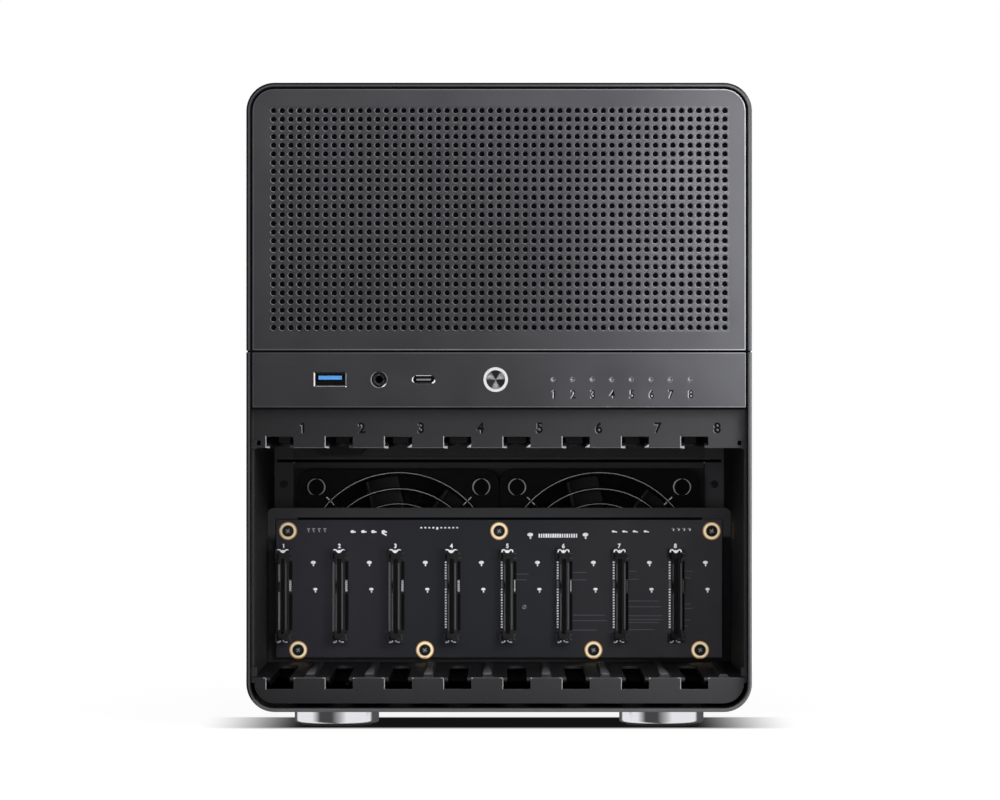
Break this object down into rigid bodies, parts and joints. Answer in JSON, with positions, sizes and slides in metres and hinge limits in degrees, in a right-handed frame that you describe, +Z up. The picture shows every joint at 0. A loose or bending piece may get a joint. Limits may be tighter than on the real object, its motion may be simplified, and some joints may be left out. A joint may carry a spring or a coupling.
{
  "type": "network storage server case",
  "caption": "Upright charcoal storage case: perforated front with ports over open drive bays, a backplane and guarded fans, on bright round feet.",
  "frame": {"origin": "centre of the footprint on the floor plane", "axes": "+X to the right seen from the front, +Y from the front to the back, +Z up"},
  "size_m": [0.233, 0.262, 0.298],
  "materials": {
    "shell_aluminium": "fine bead-blasted, anodised charcoal",
    "panel_aluminium": "fine bead-blasted, anodised charcoal, with bright edges",
    "black_steel": "black powder coat with a fine grain",
    "grey_steel": "dark grey powder coat with a fine grain",
    "black_plastic": "moulded, lightly textured",
    "blue_plastic": "moulded",
    "white_plastic": "moulded",
    "clear_plastic": "clear with a milky core",
    "bright_steel": "nickel plated",
    "black_screw": "black oxide",
    "chrome": "polished",
    "spun_aluminium": "spun in fine rings, anodised",
    "gold": "gold plated",
    "brass": "turned",
    "board_black": "solder mask, satin",
    "board_green": "solder mask, satin",
    "rubber": "soft",
    "filter_cloth": "fine black nylon mesh"
  },
  "bodies": {
    "chassis": {"lower_shell": "shell_aluminium", "front_mesh_panel": "panel_aluminium", "front_frame": "black_steel", "front_filter": "filter_cloth", "top_rails": "black_steel", "io_strip": "panel_aluminium", "io_board": "board_green", "io_board_spacers": "bright_steel", "usb_a_shell": "bright_steel", "usb_a_tongue": "blue_plastic", "audio_jack": "black_plastic", "usb_c_shell": "bright_steel", "usb_c_tongue": "black_plastic", "power_button_ring": "chrome", "power_switch": "black_plastic", "led_light_pipes": "clear_plastic", "status_leds": "white_plastic", "upper_bay_tray": "black_steel", "lower_bay_tray": "black_steel", "upper_guide_rails": "black_plastic", "lower_guide_rails": "black_plastic", "bay_side_left": "black_steel", "bay_side_right": "black_steel", "cover_catches": "bright_steel", "backplane_bracket": "grey_steel", "backplane_board": "board_black", "backplane_connectors": "black_plastic", "backplane_pads": "gold", "backplane_screws": "black_screw", "backplane_data_ports": "black_plastic", "backplane_power_ports": "white_plastic", "rear_plate": "black_steel", "slot_covers": "grey_steel", "rear_screws": "bright_steel", "ac_inlet": "black_plastic", "psu_bracket": "black_steel", "motherboard_deck": "black_steel", "motherboard_standoffs": "brass", "foot_front_left": "chrome", "foot_front_right": "chrome", "foot_rear_left": "chrome", "foot_rear_right": "chrome", "foot_pads": "rubber", "foot_screws": "bright_steel"},
    "upper_cover": {"upper_shell": "shell_aluminium", "side_mesh_left": "black_steel", "side_mesh_right": "black_steel", "shell_thumbscrews": "black_screw"},
    "rear_door": {"fan_door": "black_steel", "fan_door_filters": "filter_cloth", "fan_door_thumbscrews": "black_screw", "fan_left_frame": "black_plastic", "fan_right_frame": "black_plastic", "fan_left_guard": "black_screw", "fan_right_guard": "black_screw", "guard_screws": "black_screw", "fan_screws": "black_screw"},
    "fan_left": {"fan_left_rotor": "black_plastic"},
    "fan_right": {"fan_right_rotor": "black_plastic"},
    "button": {"power_button": "spun_aluminium"}
  },
  "joints": [
    {"name": "upper_cover_slide", "type": "slide", "parent": "chassis", "child": "upper_cover", "axis": [0, 1, 0], "range_m": [0, 0.27]},
    {"name": "rear_door_slide", "type": "slide", "parent": "chassis", "child": "rear_door", "axis": [0, 1, 0], "range_m": [0, 0.06]},
    {"name": "fan_left_spin", "type": "hinge", "parent": "rear_door", "child": "fan_left", "pos_m": [-0.0502, 0.11, 0.067], "axis": [0, 1, 0], "continuous": true},
    {"name": "fan_right_spin", "type": "hinge", "parent": "rear_door", "child": "fan_right", "pos_m": [0.0502, 0.11, 0.067], "axis": [0, 1, 0], "continuous": true},
    {"name": "power_button_press", "type": "slide", "parent": "chassis", "child": "button", "axis": [0, 1, 0], "range_m": [0, 0.0012], "stiffness_N_per_m": 300, "springref_m": -0.001}
  ]
}
